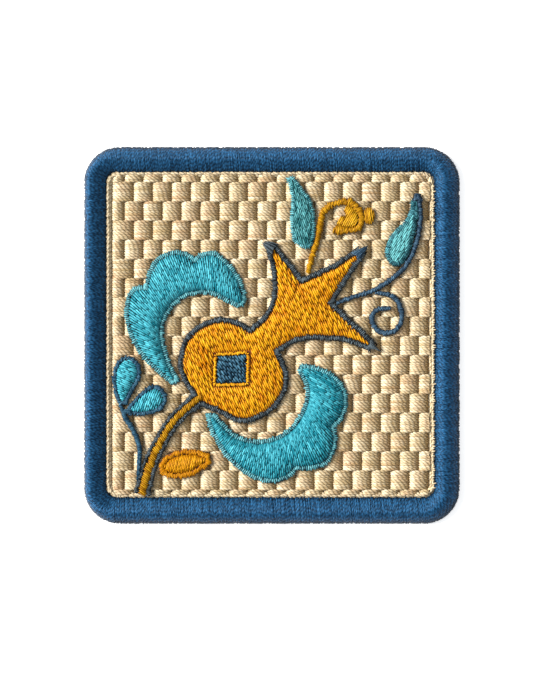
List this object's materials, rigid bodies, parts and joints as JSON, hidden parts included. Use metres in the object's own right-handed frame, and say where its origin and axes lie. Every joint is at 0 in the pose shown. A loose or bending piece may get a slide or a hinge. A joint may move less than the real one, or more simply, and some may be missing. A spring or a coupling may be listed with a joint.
{
  "type": "embroidered clothing patch",
  "caption": "Square embroidered cloth patch with a thick wrapped edge and a raised sprig of fruit, leaves, buds and scrolls on a brick-stitched ground.",
  "frame": {"origin": "centre of the back face, where the patch lies on a garment", "axes": "+Z out of the stitched face, +Y up the face, +X to its right"},
  "size_m": [0.076, 0.076, 0.0027],
  "materials": {
    "backing_cloth": "plain woven cloth, matt",
    "cream_thread": "satin embroidery thread in a brick fill",
    "navy_thread": "satin thread wrapped across the edge",
    "gold_thread": "satin embroidery thread",
    "slate_thread": "satin embroidery thread",
    "turquoise_thread": "satin embroidery thread",
    "teal_thread": "satin embroidery thread"
  },
  "bodies": {
    "root": {"base_cloth": "backing_cloth", "ground_fill": "cream_thread", "border": "navy_thread", "fruit": "gold_thread", "fruit_outline": "slate_thread", "seed_window": "slate_thread", "stem": "gold_thread", "upper_leaf": "turquoise_thread", "upper_leaf_rim": "teal_thread", "lower_leaf": "turquoise_thread", "lower_leaf_rim": "teal_thread", "bud_upper": "turquoise_thread", "bud_upper_rim": "slate_thread", "bud_lower": "turquoise_thread", "bud_lower_rim": "slate_thread", "bud_stem": "slate_thread", "gold_leaf": "gold_thread", "gold_leaf_rim": "gold_thread", "top_drop": "turquoise_thread", "gold_scroll": "gold_thread", "scroll_web": "gold_thread", "scroll_knot": "gold_thread", "right_drop": "turquoise_thread", "right_vine": "slate_thread", "right_scroll": "slate_thread"}
  },
  "joints": []
}
